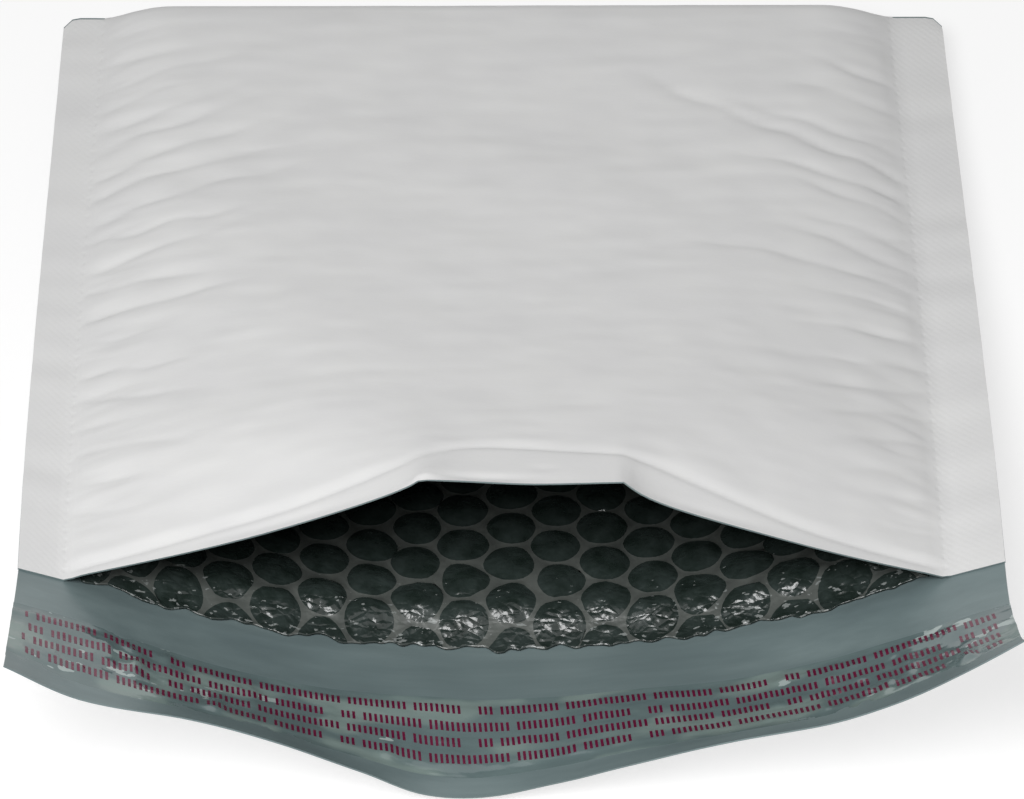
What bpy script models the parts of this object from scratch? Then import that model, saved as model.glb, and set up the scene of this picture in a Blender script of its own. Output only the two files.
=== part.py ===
"""Padded envelope, lying on its back wall with its mouth open.

A web of film is folded once and sealed along both sides. Its back wall runs on past the mouth as a
flap. A web of bubble cushioning lines the pocket, folded with the film, and its flat side faces in,
where each bubble shows as a low swelling. The flap carries a band of adhesive under a release liner.

The mouth faces -Y, the fold faces +Y, and the origin is under the middle of the envelope. Every
surface is a flat web bent by place(), which takes a point's distance across the web, its distance
along the web from the fold, and its depth below the envelope's outer surface.
"""

import math

import bmesh
import bpy
from mathutils import Matrix, Vector

# The flat webs, in metres
FLAT_WIDTH = 0.184
BODY_LENGTH = 0.203
FLAP_LENGTH = 0.038
SEAL_LEFT = 0.0085
SEAL_RIGHT = 0.0110
FILM = 0.0003
LINER_BASE = 0.0037
BUBBLE_HEIGHT = 0.0010
BUBBLE_PITCH = 0.01025
BUBBLE_SLOPE = 0.0012
LINER_CUT_SHARE = 0.25
LINER_CUT_REACH = 0.009
LINER_SIDE_MARGIN = 0.003
LINER_FRONT_MARGIN = 0.006
LINER_BACK_MARGIN = 0.002
ADHESIVE_WIDTH = 0.015
ADHESIVE_THICKNESS = 0.0003
RELEASE_WIDTH = 0.021
RELEASE_THICKNESS = 0.0003
RELEASE_TO_FLAP_END = 0.0050
GAP = 0.0003

# The open shape, in metres: how far each line rises between the fold and the mouth
SEAM_LIFT = 0.01415
SEAL_TILT = 0.33
CREST_LIFT = 0.0291
FLOOR_HUMP = 0.0016
HUMP_END = 0.100
PILLOW_EDGE = 0.014
MOUTH_REACH = 0.110
EDGE_REACH = 0.045
KINK_LEFT = -0.0172
KINK_RIGHT = 0.0213
MOUTH_NARROWING = 0.0054
EDGE_PULL_BACK = 0.003

# How those lines bend between the fold and the mouth
SEAM_POWER = 2.0
CREST_POWER = 2.2
FLAT_POWER = 0.7
NARROWING_POWER = 3.0

# How the front wall bends from its kinks to the seals: below 1 sags, above 1 is rounded
MOUTH_SAG_LEFT = 0.77
MOUTH_SAG_RIGHT = 0.67
BODY_ROUNDING = 2.0

# The flap's curl: (share of the half width, height along its middle, height at its free edge),
# with the heights counted in CURL_UNIT
CURL_UNIT = 0.001
FLAP_CURL = (
    (-1.00, 27.0, 31.5),
    (-0.85, 21.2, 23.6),
    (-0.65, 13.6, 19.4),
    (-0.47, 7.8, 13.6),
    (-0.30, 3.8, 6.5),
    (-0.18, 1.8, 1.4),
    (-0.06, 0.8, 0.6),
    (0.10, 2.6, 4.2),
    (0.27, 5.4, 9.1),
    (0.44, 7.6, 13.6),
    (0.62, 11.6, 17.4),
    (0.76, 16.3, 22.5),
    (0.88, 21.5, 28.9),
    (1.00, 27.0, 36.7),
)
CURL_MIDDLE = 0.61

# Counts of the mesh
BODY_ROWS = 20
BODY_ROW_LEAN = 1.3
FOLD_ROWS = 8
SIDE_COLUMNS = 10
MIDDLE_COLUMNS = 4
FULL_BUBBLE_DEPTH = 0.105
LEAST_CELL = 0.4

# Values that follow from the sizes above
HALF_WIDTH = FLAT_WIDTH / 2
POCKET_MIDDLE = (SEAL_LEFT - SEAL_RIGHT) / 2
POCKET_HALF = HALF_WIDTH - (SEAL_LEFT + SEAL_RIGHT) / 2
WALL = FILM + GAP + LINER_BASE + BUBBLE_HEIGHT + GAP / 2
FOLD_CENTRE = BODY_LENGTH - WALL
QUARTER_TURN = math.pi / 2 * WALL
TO_MOUTH = FOLD_CENTRE + QUARTER_TURN
TO_FLAP_END = TO_MOUTH + FLAP_LENGTH
LINER_DEPTH = FILM + GAP
STRIP_MIDDLE = TO_FLAP_END - RELEASE_TO_FLAP_END - RELEASE_WIDTH / 2
MIDDLE_Y = (BODY_LENGTH - FLAP_LENGTH) / 2


def ease(t):
    """A smooth step from 0 to 1."""
    t = min(max(t, 0.0), 1.0)
    return t * t * (3 - 2 * t)


def curve_through(points, x):
    """The height at x of a smooth curve through points, which are (x, height) in order."""
    last = len(points) - 1
    i = max(k for k in range(last) if k == 0 or points[k][0] <= x)
    slopes = []
    for k in (i, i + 1):
        before, after = points[max(k - 1, 0)], points[min(k + 1, last)]
        slopes.append((after[1] - before[1]) / (after[0] - before[0]))
    (x0, z0), (x1, z1) = points[i], points[i + 1]
    span = x1 - x0
    t = min(max((x - x0) / span, 0.0), 1.0)
    rise = z0 * (1 + 2 * t) * (1 - t) ** 2 + z1 * t * t * (3 - 2 * t)
    return rise + span * (slopes[0] * t * (1 - t) ** 2 - slopes[1] * t * t * (1 - t))


def openness(y):
    """0 at the fold, 1 at the mouth."""
    return min(max((BODY_LENGTH - y) / BODY_LENGTH, 0.0), 1.0)


def seam_height(u, y):
    """The middle of the side seals, which tilt upward toward their cut edges near the mouth."""
    outside = max(abs(u - POCKET_MIDDLE) - POCKET_HALF, 0.0)
    return WALL + (SEAM_LIFT + SEAL_TILT * outside) * openness(y) ** SEAM_POWER


def crest_height(y):
    """The top of the front wall."""
    return 2 * WALL + CREST_LIFT * openness(y) ** CREST_POWER


def floor_height(y):
    """The lowest line of the back wall, which lifts a little behind the mouth."""
    turn = min(max((y + FLAP_LENGTH) / (HUMP_END + FLAP_LENGTH), 0.0), 1.0)
    return FLOOR_HUMP * (1 - math.cos(2 * math.pi * turn)) / 2


def flat_share(y):
    """How much of the pocket's half width lies flat at y, from 0 at the mouth."""
    most = max(1 - PILLOW_EDGE / POCKET_HALF, 0.0)
    return most * (1 - openness(y)) ** FLAT_POWER


def beyond(u, start):
    """How far u lies past start on its way to the seal, both as shares of the pocket's half width."""
    share = min(abs(u - POCKET_MIDDLE) / POCKET_HALF, 1.0)
    return max(share - start, 0.0) / (1 - start)


def front_drop(u, y):
    """How far the front wall has dropped from its crest to the seam, from 0 to 1."""
    on_left = u < POCKET_MIDDLE
    kink = abs((KINK_LEFT if on_left else KINK_RIGHT) - POCKET_MIDDLE) / POCKET_HALF
    start = kink + (flat_share(y) - kink) * ease(y / MOUTH_REACH)
    sag = MOUTH_SAG_LEFT if on_left else MOUTH_SAG_RIGHT
    return beyond(u, start) ** (sag + (BODY_ROUNDING - sag) * ease(y / EDGE_REACH))


def top(u, y):
    """The outer surface of the front wall."""
    crest = crest_height(y)
    return crest - (crest - seam_height(u, y) - FILM) * front_drop(u, y)


def bottom(u, y):
    """The outer surface of the back wall, and of the flap where y is below 0."""
    if y < 0:
        return flap_height(u, min(-y / FLAP_LENGTH, 1.0))
    low = floor_height(y)
    return low + (seam_height(u, y) - FILM - low) * beyond(u, flat_share(y)) ** 2


def flap_height(u, t):
    """The flap's outer surface at t along it: a parabola from the mouth through both curls."""
    share = u / HALF_WIDTH
    middle = CURL_UNIT * curve_through([(x, z) for x, z, _ in FLAP_CURL], share)
    end = CURL_UNIT * curve_through([(x, z) for x, _, z in FLAP_CURL], share)
    from_mouth = (t - CURL_MIDDLE) * (t - 1) / CURL_MIDDLE
    from_middle = t * (1 - t) / (CURL_MIDDLE * (1 - CURL_MIDDLE))
    from_end = t * (t - CURL_MIDDLE) / (1 - CURL_MIDDLE)
    return bottom(u, 0.0) * from_mouth + middle * from_middle + end * from_end


def place(u, s, depth):
    """The point at u across the web and s along it from the fold, with s below 0 on the front wall."""
    turn = min(max(s / WALL, -math.pi / 2), math.pi / 2)
    straight = FOLD_CENTRE - max(abs(s) - QUARTER_TURN, 0.0)
    y = straight + (WALL - depth) * math.cos(turn)
    side = -math.sin(turn)
    if y < 0:
        z = bottom(u, y) + depth
    else:
        half = (top(u, y) - bottom(u, y)) / 2
        middle = (top(u, y) + bottom(u, y)) / 2
        z = middle + side * max(half - depth, 0.0)
        y += EDGE_PULL_BACK * (1 - front_drop(u, y)) * openness(y) ** 3 * (1 + side) / 2
    x = u * (1 - MOUTH_NARROWING / FLAT_WIDTH * openness(y) ** NARROWING_POWER)
    return Vector((x, y - MIDDLE_Y, z))


def spaced(low, high, count):
    return [low + (high - low) * i / count for i in range(count + 1)]


def pocket_columns():
    """Distances across the pocket, closer together at the seals and kinks."""
    lean = [(1 - math.cos(math.pi * i / SIDE_COLUMNS)) / 2 for i in range(SIDE_COLUMNS)]
    low, high = POCKET_MIDDLE - POCKET_HALF, POCKET_MIDDLE + POCKET_HALF
    left = [low + (KINK_LEFT - low) * share for share in lean]
    right = [high - (high - KINK_RIGHT) * share for share in reversed(lean)]
    return left + spaced(KINK_LEFT, KINK_RIGHT, MIDDLE_COLUMNS) + right


def body_rows():
    """Distances along the web, from the front wall's mouth edge round the fold to the back wall's.

    The rows are closer together toward the mouth, and there is one at each end of the liner.
    """
    leans = [share**BODY_ROW_LEAN for share in spaced(0.0, 1.0, BODY_ROWS)]
    inner = [LINER_FRONT_MARGIN + (FOLD_CENTRE - LINER_FRONT_MARGIN) * lean for lean in leans]
    front = [y - TO_MOUTH for y in [0.0, LINER_BACK_MARGIN] + inner]
    fold = spaced(-QUARTER_TURN, QUARTER_TURN, FOLD_ROWS)
    return front[:-1] + fold + [-s for s in reversed(front[:-1])]


def flap_rows():
    """Distances along the web from the mouth to the flap's end, with one at each strip's edges."""
    halves = (RELEASE_WIDTH / 2, ADHESIVE_WIDTH / 2)
    before = [STRIP_MIDDLE - half for half in halves]
    after = [STRIP_MIDDLE + half for half in reversed(halves)]
    return [TO_MOUTH] + before + [STRIP_MIDDLE] + after + [TO_FLAP_END]


def new_object(name, bm, collection, *materials):
    mesh = bpy.data.meshes.new(name)
    bm.to_mesh(mesh)
    bm.free()
    mesh.shade_smooth()
    mesh.set_sharp_from_angle(angle=math.radians(40))
    for material in materials:
        mesh.materials.append(material)
    obj = bpy.data.objects.new(name, mesh)
    collection.objects.link(obj)
    return obj


def bent_grid(bm, columns, rows, position, material_index=0):
    """Adds a grid whose corner at column c and row r goes to position(c, r)."""
    across, along = len(columns) - 1, len(rows) - 1
    made = bmesh.ops.create_grid(bm, x_segments=across, y_segments=along, size=0.5)["verts"]
    faces = {face for vert in made for face in vert.link_faces}
    for face in faces:
        face.material_index = material_index
    for vert in made:
        column = columns[round((vert.co.x + 0.5) * across)]
        row = rows[round((vert.co.y + 0.5) * along)]
        vert.co = position(column, row)


def weld(bm):
    bmesh.ops.remove_doubles(bm, verts=bm.verts, dist=1e-6)
    bmesh.ops.dissolve_degenerate(bm, edges=bm.edges, dist=1e-6)
    bmesh.ops.recalc_face_normals(bm, faces=bm.faces)


def make_outer_film(collection, white, grey):
    """The folded web, its side seals and its flap, as one closed shell."""
    pocket = pocket_columns()
    columns = [-HALF_WIDTH] + pocket + [HALF_WIDTH]
    body = body_rows()
    flap = flap_rows()
    skin = (0.0, FILM)
    bm = bmesh.new()
    bent_grid(bm, columns, body + flap[1:], lambda u, s: place(u, s, 0.0))
    bent_grid(bm, pocket, body, lambda u, s: place(u, s, FILM), 1)
    bent_grid(bm, columns, flap, lambda u, s: place(u, s, FILM), 1)
    bent_grid(bm, columns, skin, lambda u, depth: place(u, TO_FLAP_END, depth))
    bent_grid(bm, pocket, skin, lambda u, depth: place(u, -TO_MOUTH, depth))
    for side in (-1, 1):
        edge = side * HALF_WIDTH
        seal = (POCKET_MIDDLE + side * POCKET_HALF, edge)
        half_body = [s for s in body if s >= 0]
        bent_grid(bm, (0, 0.5, 1), half_body, lambda share, s, edge=edge: across_edge(edge, s, share))
        bent_grid(bm, skin, flap, lambda depth, s, edge=edge: place(edge, s, depth))
        bent_grid(bm, seal, (-1, 1), seal_end)
    weld(bm)
    return new_object("outer_film", bm, collection, white, grey)


def across_edge(u, s, share):
    """A point on the cut edge of a side seal, from the front wall at share 0 to the back wall at 1."""
    return place(u, -s, 0.0).lerp(place(u, s, 0.0), share)


def seal_end(u, wall):
    """The mouth end of a seal, from the front wall's outer surface to the flap's inner one."""
    return place(u, wall * TO_MOUTH, 0.0 if wall < 0 else FILM)


def bubble_cells(bm, left, right, front, back):
    """Tiles the flat liner with hexagons, one for each bubble, cut to its four edges."""
    column_step = BUBBLE_PITCH * math.sqrt(3) / 2
    radius = BUBBLE_PITCH / math.sqrt(3)
    for i in range(math.floor(left / column_step) - 1, math.ceil(right / column_step) + 2):
        shift = BUBBLE_PITCH / 2 if i % 2 else 0.0
        for k in range(math.floor(front / BUBBLE_PITCH) - 1, math.ceil(back / BUBBLE_PITCH) + 2):
            centre = Vector((i * column_step, k * BUBBLE_PITCH + shift, LINER_BASE))
            turned = Matrix.Translation(centre) @ Matrix.Rotation(math.radians(30), 4, "Z")
            bmesh.ops.create_circle(bm, cap_ends=True, segments=6, radius=radius, matrix=turned)
    bmesh.ops.remove_doubles(bm, verts=bm.verts, dist=1e-5)
    edges = (((left, 0), (-1, 0)), ((right, 0), (1, 0)), ((0, front), (0, -1)), ((0, back), (0, 1)))
    for point, outward in edges:
        everything = bm.verts[:] + bm.edges[:] + bm.faces[:]
        bmesh.ops.bisect_plane(
            bm,
            geom=everything,
            dist=1e-6,
            plane_co=(*point, 0.0),
            plane_no=(*outward, 0.0),
            clear_outer=True,
        )


def cut_along(bm, faces, places, direction):
    """Cuts faces by a plane at each place along direction, and returns the faces they became."""
    for distance in places:
        geometry = set(faces)
        for face in faces:
            geometry.update(face.edges)
            geometry.update(face.verts)
        cut = bmesh.ops.bisect_plane(
            bm,
            geom=list(geometry),
            dist=1e-6,
            plane_co=Vector(direction) * distance,
            plane_no=direction,
        )
        faces = [item for item in cut["geom"] if isinstance(item, bmesh.types.BMFace)]
    return faces


def back_the_cells(bm, columns, rows):
    """Closes the tiled sheet with a plain back, cut at the film's own columns and rows."""
    border = [edge for edge in bm.edges if edge.is_boundary]
    extruded = bmesh.ops.extrude_edge_only(bm, edges=border)["geom"]
    rim = [item for item in extruded if isinstance(item, bmesh.types.BMEdge)]
    for vert in {vert for edge in rim for vert in edge.verts}:
        vert.co.z = 0.0
    rim = [edge for edge in rim if edge.is_boundary]
    back = bmesh.ops.edgeloop_fill(bm, edges=rim)["faces"]
    back = cut_along(bm, back, columns, (1, 0, 0))
    cut_along(bm, back, rows, (0, 1, 0))


def raise_bubbles(bm, cells):
    """Insets each cell and lifts its middle: a flat-topped swelling, or a peak deep in the pocket."""
    full_area = BUBBLE_PITCH**2 * math.sqrt(3) / 2
    whole = [cell for cell in cells if cell.calc_area() > LEAST_CELL * full_area]
    near = [c for c in whole if abs(c.calc_center_median().y) > TO_MOUTH - FULL_BUBBLE_DEPTH]
    deep = [c for c in whole if c not in set(near)]
    bmesh.ops.inset_individual(bm, faces=near, thickness=BUBBLE_SLOPE)
    for vert in {vert for cell in near for vert in cell.verts}:
        vert.co.z = LINER_BASE + BUBBLE_HEIGHT
    for vert in bmesh.ops.poke(bm, faces=deep)["verts"]:
        vert.co.z = LINER_BASE + BUBBLE_HEIGHT


def bend_liner(bm):
    """Bends the flat liner into the pocket, where it keeps clear of the opposite wall.

    It thins toward the mouth, where the cut bubbles have lost their air.
    """
    for vert in bm.verts:
        u, s, height = vert.co
        margin = LINER_FRONT_MARGIN if s < 0 else LINER_BACK_MARGIN
        from_cut = TO_MOUTH - margin - abs(s)
        full = LINER_CUT_SHARE + (1 - LINER_CUT_SHARE) * ease(from_cut / LINER_CUT_REACH)
        y = FOLD_CENTRE - max(abs(s) - QUARTER_TURN, 0.0)
        room = (top(u, y) - bottom(u, y)) / 2 - GAP / 2
        vert.co = place(u, s, min(LINER_DEPTH + height * full, room))


def make_bubble_liner(collection, film):
    reach = POCKET_HALF - LINER_SIDE_MARGIN
    left, right = POCKET_MIDDLE - reach, POCKET_MIDDLE + reach
    front, back = LINER_FRONT_MARGIN - TO_MOUTH, TO_MOUTH - LINER_BACK_MARGIN
    bm = bmesh.new()
    bubble_cells(bm, left, right, front, back)
    flat_zone = QUARTER_TURN + BUBBLE_PITCH / 2
    cells = bm.faces[:]
    folded = [cell for cell in cells if abs(cell.calc_center_median().y) < flat_zone]
    raised = [cell for cell in cells if cell not in set(folded)]
    turns = spaced(-QUARTER_TURN, QUARTER_TURN, FOLD_ROWS)
    cut_along(bm, folded, turns, (0, 1, 0))
    columns = [u for u in pocket_columns() if left + GAP < u < right - GAP]
    rows = [s for s in body_rows() if front + GAP < s < back - GAP]
    back_the_cells(bm, columns, rows)
    raise_bubbles(bm, raised)
    bend_liner(bm)
    weld(bm)
    return new_object("bubble_liner", bm, collection, film)


def make_strip(name, width, depth, thickness, collection, material):
    """A band across the inside of the flap."""
    rows = [s for s in flap_rows() if abs(s - STRIP_MIDDLE) < width / 2 + 1e-6]
    columns = [-HALF_WIDTH] + pocket_columns() + [HALF_WIDTH]
    bm = bmesh.new()
    bent_grid(bm, columns, rows, lambda u, s: place(u, s, depth))
    bent_grid(bm, columns, rows, lambda u, s: place(u, s, depth + thickness))
    faces = (depth, depth + thickness)
    for s in (rows[0], rows[-1]):
        bent_grid(bm, columns, faces, lambda u, d, s=s: place(u, s, d))
    for u in (columns[0], columns[-1]):
        bent_grid(bm, faces, rows, lambda d, s, u=u: place(u, s, d))
    weld(bm)
    return new_object(name, bm, collection, material)


def plastic(name, colour, roughness):
    material = bpy.data.materials.new(name)
    material.use_nodes = True
    shader = material.node_tree.nodes["Principled BSDF"]
    shader.inputs["Base Color"].default_value = (*colour, 1.0)
    shader.inputs["Roughness"].default_value = roughness
    shader.inputs["Metallic"].default_value = 0.0
    return material


def main():
    for obj in list(bpy.data.objects):
        bpy.data.objects.remove(obj)
    collection = bpy.data.collections.new("padded_envelope")
    bpy.context.scene.collection.children.link(collection)
    white = plastic("white_film", (0.72, 0.72, 0.71), 0.5)
    grey = plastic("grey_film", (0.12, 0.16, 0.16), 0.4)
    bubble = plastic("bubble_film", (0.09, 0.11, 0.10), 0.2)
    glue = plastic("adhesive", (0.30, 0.36, 0.33), 0.3)
    release = plastic("release_film", (0.18, 0.24, 0.24), 0.2)
    make_outer_film(collection, white, grey)
    make_bubble_liner(collection, bubble)
    glue_depth = FILM + GAP
    make_strip("adhesive_strip", ADHESIVE_WIDTH, glue_depth, ADHESIVE_THICKNESS, collection, glue)
    release_depth = glue_depth + ADHESIVE_THICKNESS + GAP
    make_strip("release_liner", RELEASE_WIDTH, release_depth, RELEASE_THICKNESS, collection, release)


main()
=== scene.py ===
"""The looks of a padded envelope that lies on its back wall with its mouth open.

The mouth faces -Y and the fold +Y. As in the CAD source, every surface is a flat web bent by
bend(), which takes a point's distance across the web (u), its distance along the web from the
fold (s, below 0 on the front wall), and its depth below the envelope's outer surface.
"""

import math

import bmesh
import bpy
import numpy as np
from mathutils import Matrix, Vector


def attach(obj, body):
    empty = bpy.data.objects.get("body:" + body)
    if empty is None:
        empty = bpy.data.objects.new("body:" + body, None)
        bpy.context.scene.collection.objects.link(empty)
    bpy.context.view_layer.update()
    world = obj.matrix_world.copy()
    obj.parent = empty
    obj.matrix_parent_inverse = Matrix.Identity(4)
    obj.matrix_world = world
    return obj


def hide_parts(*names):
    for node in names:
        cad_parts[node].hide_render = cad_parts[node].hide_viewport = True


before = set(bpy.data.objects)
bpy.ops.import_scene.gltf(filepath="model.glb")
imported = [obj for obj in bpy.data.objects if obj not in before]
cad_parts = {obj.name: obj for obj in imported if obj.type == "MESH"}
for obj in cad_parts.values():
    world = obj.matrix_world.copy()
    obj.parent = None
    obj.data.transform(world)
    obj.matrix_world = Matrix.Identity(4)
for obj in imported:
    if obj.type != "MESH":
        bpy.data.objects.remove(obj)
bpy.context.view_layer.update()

MM = 0.001

# The flat webs, as in the CAD source
FLAT_WIDTH = 0.184
BODY_LENGTH = 0.203
FLAP_LENGTH = 0.038
SEAL_LEFT = 0.0085
SEAL_RIGHT = 0.0110
FILM = 0.0003
LINER_BASE = 0.0037
BUBBLE_HEIGHT = 0.0010
BUBBLE_PITCH = 0.01025
LINER_CUT_REACH = 0.009
LINER_SIDE_MARGIN = 0.003
LINER_FRONT_MARGIN = 0.006
LINER_BACK_MARGIN = 0.002
ADHESIVE_WIDTH = 0.015
RELEASE_WIDTH = 0.021
RELEASE_TO_FLAP_END = 0.0050
GAP = 0.0003

# The open shape, as in the CAD source
SEAM_LIFT = 0.01415
SEAL_TILT = 0.33
CREST_LIFT = 0.0291
FLOOR_HUMP = 0.0016
HUMP_END = 0.100
PILLOW_EDGE = 0.014
MOUTH_REACH = 0.110
EDGE_REACH = 0.045
KINK_LEFT = -0.0172
KINK_RIGHT = 0.0213
MOUTH_NARROWING = 0.0054
EDGE_PULL_BACK = 0.003
SEAM_POWER = 2.0
CREST_POWER = 2.2
FLAT_POWER = 0.7
NARROWING_POWER = 3.0
MOUTH_SAG_LEFT = 0.77
MOUTH_SAG_RIGHT = 0.67
BODY_ROUNDING = 2.0

# The flap's curl: (share of the half width, height along its middle, height at its end), in mm
FLAP_CURL = np.array(
    [
        (-1.00, 27.0, 31.5),
        (-0.85, 21.2, 23.6),
        (-0.65, 13.6, 19.4),
        (-0.47, 7.8, 13.6),
        (-0.30, 3.8, 6.5),
        (-0.18, 1.8, 1.4),
        (-0.06, 0.8, 0.6),
        (0.10, 2.6, 4.2),
        (0.27, 5.4, 9.1),
        (0.44, 7.6, 13.6),
        (0.62, 11.6, 17.4),
        (0.76, 16.3, 22.5),
        (0.88, 21.5, 28.9),
        (1.00, 27.0, 36.7),
    ]
)
CURL_MIDDLE = 0.61

HALF_WIDTH = FLAT_WIDTH / 2
POCKET_MIDDLE = (SEAL_LEFT - SEAL_RIGHT) / 2
POCKET_HALF = HALF_WIDTH - (SEAL_LEFT + SEAL_RIGHT) / 2
WALL = FILM + GAP + LINER_BASE + BUBBLE_HEIGHT + GAP / 2
FOLD_CENTRE = BODY_LENGTH - WALL
QUARTER_TURN = math.pi / 2 * WALL
TO_MOUTH = FOLD_CENTRE + QUARTER_TURN
TO_FLAP_END = TO_MOUTH + FLAP_LENGTH
LINER_DEPTH = FILM + GAP
STRIP_MIDDLE = TO_FLAP_END - RELEASE_TO_FLAP_END - RELEASE_WIDTH / 2
MIDDLE_Y = (BODY_LENGTH - FLAP_LENGTH) / 2


def ease(t):
    t = np.clip(t, 0.0, 1.0)
    return t * t * (3 - 2 * t)


def curve_through(xs, zs, x):
    """Heights at x of the smooth curve through the points (xs, zs)."""
    last = len(xs) - 1
    near = np.clip(np.searchsorted(xs, x, side="right") - 1, 0, last - 1)
    before = np.maximum(np.arange(last + 1) - 1, 0)
    after = np.minimum(np.arange(last + 1) + 1, last)
    slopes = (zs[after] - zs[before]) / (xs[after] - xs[before])
    span = xs[near + 1] - xs[near]
    t = np.clip((x - xs[near]) / span, 0.0, 1.0)
    rise = zs[near] * (1 + 2 * t) * (1 - t) ** 2 + zs[near + 1] * t * t * (3 - 2 * t)
    return rise + span * (slopes[near] * t * (1 - t) ** 2 - slopes[near + 1] * t * t * (1 - t))


def openness(y):
    return np.clip((BODY_LENGTH - y) / BODY_LENGTH, 0.0, 1.0)


def seam_height(u, y):
    outside = np.maximum(np.abs(u - POCKET_MIDDLE) - POCKET_HALF, 0.0)
    return WALL + (SEAM_LIFT + SEAL_TILT * outside) * openness(y) ** SEAM_POWER


def floor_height(y):
    turn = np.clip((y + FLAP_LENGTH) / (HUMP_END + FLAP_LENGTH), 0.0, 1.0)
    return FLOOR_HUMP * (1 - np.cos(2 * math.pi * turn)) / 2


def flat_share(y):
    return (1 - PILLOW_EDGE / POCKET_HALF) * (1 - openness(y)) ** FLAT_POWER


def beyond(u, start):
    share = np.minimum(np.abs(u - POCKET_MIDDLE) / POCKET_HALF, 1.0)
    return np.maximum(share - start, 0.0) / (1 - start)


def front_drop(u, y):
    on_left = u < POCKET_MIDDLE
    kink = np.abs(np.where(on_left, KINK_LEFT, KINK_RIGHT) - POCKET_MIDDLE) / POCKET_HALF
    start = kink + (flat_share(y) - kink) * ease(y / MOUTH_REACH)
    sag = np.where(on_left, MOUTH_SAG_LEFT, MOUTH_SAG_RIGHT)
    return beyond(u, start) ** (sag + (BODY_ROUNDING - sag) * ease(y / EDGE_REACH))


def top(u, y):
    crest = 2 * WALL + CREST_LIFT * openness(y) ** CREST_POWER
    return crest - (crest - seam_height(u, y) - FILM) * front_drop(u, y)


def pocket_bottom(u, y):
    low = floor_height(y)
    return low + (seam_height(u, y) - FILM - low) * beyond(u, flat_share(y)) ** 2


def flap_height(u, t):
    share = u / HALF_WIDTH
    middle = MM * curve_through(FLAP_CURL[:, 0], FLAP_CURL[:, 1], share)
    end = MM * curve_through(FLAP_CURL[:, 0], FLAP_CURL[:, 2], share)
    from_mouth = (t - CURL_MIDDLE) * (t - 1) / CURL_MIDDLE
    from_middle = t * (1 - t) / (CURL_MIDDLE * (1 - CURL_MIDDLE))
    from_end = t * (t - CURL_MIDDLE) / (1 - CURL_MIDDLE)
    at_mouth = pocket_bottom(u, np.zeros_like(u))
    return at_mouth * from_mouth + middle * from_middle + end * from_end


def ripple(x, y, wavelength, seed, count=28):
    """Smooth noise from about -1 to 1: waves of nearly one length in random directions."""
    random = np.random.default_rng(seed)
    total = np.zeros_like(x)
    for _ in range(count):
        angle, phase = random.uniform(0, 2 * math.pi, 2)
        stretch = random.uniform(0.7, 1.5)
        turned = x * math.cos(angle) + y * math.sin(angle)
        total += np.sin(2 * math.pi * turned / (wavelength * stretch) + phase)
    return total / math.sqrt(2 * count)


# Creases that start at a side seal: (distance from the mouth, slope toward the fold, how that slope
# grows, how far it reaches, depth), in mm
LEFT_FOLDS = (
    (193, 0.05, 0.000, 14, 0.10),
    (182, 0.02, 0.000, 18, 0.16),
    (173, 0.08, 0.007, 32, 0.20),
    (166, 0.10, 0.006, 24, 0.14),
    (158, 0.05, 0.011, 34, 0.22),
    (152, 0.05, 0.010, 40, 0.26),
    (141, 0.30, 0.003, 42, 0.30),
    (134, 0.26, 0.001, 46, 0.34),
    (123, 0.33, 0.001, 48, 0.26),
    (117, 0.05, 0.003, 38, 0.30),
    (107, 0.05, 0.009, 32, 0.30),
    (100, -0.12, 0.002, 28, 0.26),
    (90, -0.08, 0.006, 34, 0.34),
    (81, -0.10, 0.002, 20, 0.20),
    (70, -0.18, 0.000, 28, 0.24),
    (61, -0.30, 0.000, 28, 0.24),
    (51, -0.20, 0.000, 18, 0.18),
    (43, -0.35, 0.000, 26, 0.22),
    (32, -0.35, 0.000, 22, 0.20),
    (21, -0.20, 0.000, 18, 0.18),
)
RIGHT_FOLDS = (
    (190, 0.05, 0.000, 14, 0.10),
    (174, 0.12, 0.012, 24, 0.22),
    (164, 0.15, 0.006, 26, 0.16),
    (149, 0.20, 0.006, 38, 0.30),
    (140, 0.30, 0.006, 56, 0.42),
    (131, 0.34, 0.000, 40, 0.34),
    (124, 0.40, 0.000, 28, 0.28),
    (114, 0.30, 0.000, 24, 0.22),
    (105, 0.42, 0.000, 28, 0.28),
    (98, 0.22, 0.000, 48, 0.28),
    (90, 0.12, 0.000, 24, 0.26),
    (81, -0.10, 0.000, 26, 0.26),
    (72, -0.28, 0.000, 28, 0.26),
    (64, -0.40, 0.000, 32, 0.26),
    (55, -0.45, 0.000, 30, 0.26),
    (46, -0.55, 0.000, 26, 0.24),
    (37, -0.60, 0.000, 24, 0.22),
    (26, -0.40, 0.000, 18, 0.18),
    (16, -0.10, 0.000, 14, 0.14),
)

# A crease's width on the side of the fold and of the mouth, and how round its bottom is, in mm
FOLD_FAR_SIDE = 2.8
FOLD_NEAR_SIDE = 1.5
FOLD_SOFTNESS = 0.3
FOLD_GAIN = 2.0
SHORT_FOLD_PITCH = 5.1


def seam_folds(inside, y, folds, seed):
    """Height in mm, below 0, of one seal's creases, at a distance inside it and from the mouth."""
    random = np.random.default_rng(seed)
    total = np.zeros_like(y)
    for start, slope, growth, reach, depth in folds:
        wander = random.uniform(0.3, 0.9) * np.sin(
            inside * random.uniform(0.25, 0.45) + random.uniform(0, 6)
        )
        line = start + slope * inside + growth * inside**2 + wander
        above = y - line
        width = np.where(above > 0, FOLD_FAR_SIDE, FOLD_NEAR_SIDE)
        across = np.exp(-(np.sqrt(above**2 + FOLD_SOFTNESS**2) - FOLD_SOFTNESS) / width)
        along = ease((inside + 1) / 4) * (1 - ease((inside - 0.4 * reach) / (0.75 * reach)))
        along *= 1 + 0.35 * np.sin(inside * random.uniform(0.2, 0.5) + random.uniform(0, 6))
        total -= FOLD_GAIN * depth * along * across
    return total


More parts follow.
